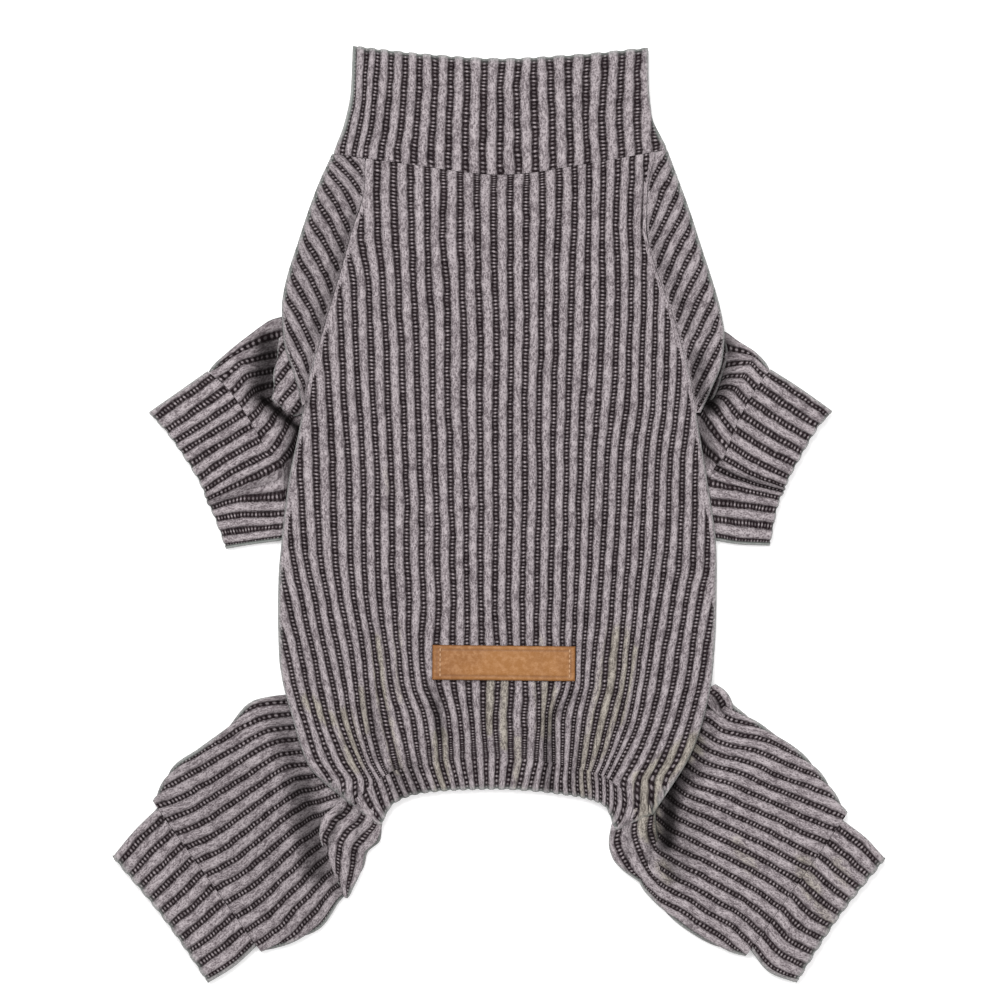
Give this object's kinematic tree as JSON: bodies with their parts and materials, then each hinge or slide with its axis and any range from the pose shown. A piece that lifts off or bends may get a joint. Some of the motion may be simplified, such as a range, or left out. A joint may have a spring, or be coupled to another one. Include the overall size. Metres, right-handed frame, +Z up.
{
  "type": "dog pajamas",
  "caption": "Wide-rib knit dog pajamas laid flat, back up, with a turtleneck, raglan sleeves, legs, doubled cuffs, a gathered tail hem and a bare leather label.",
  "frame": {"origin": "on the table, under the middle of the garment's bounding box", "axes": "+X across the body, to the picture's right, +Y along the body from the tail to the neck, +Z up from the table"},
  "size_m": [0.3241, 0.3931, 0.0098],
  "materials": {
    "rib_knit": "wide rib knit, heathered mauve-grey ribs with near-black grooves",
    "label_leather": "smooth tan leather, bare"
  },
  "bodies": {
    "root": {"collar": "rib_knit", "back_panel": "rib_knit", "belly_panel": "rib_knit", "tail_hem": "rib_knit", "sleeve_cap_left": "rib_knit", "sleeve_cap_right": "rib_knit", "sleeve_left": "rib_knit", "sleeve_right": "rib_knit", "sleeve_cuff_left": "rib_knit", "sleeve_cuff_right": "rib_knit", "leg_left": "rib_knit", "leg_right": "rib_knit", "leg_cuff_left": "rib_knit", "leg_cuff_right": "rib_knit", "label": "label_leather"}
  },
  "joints": []
}
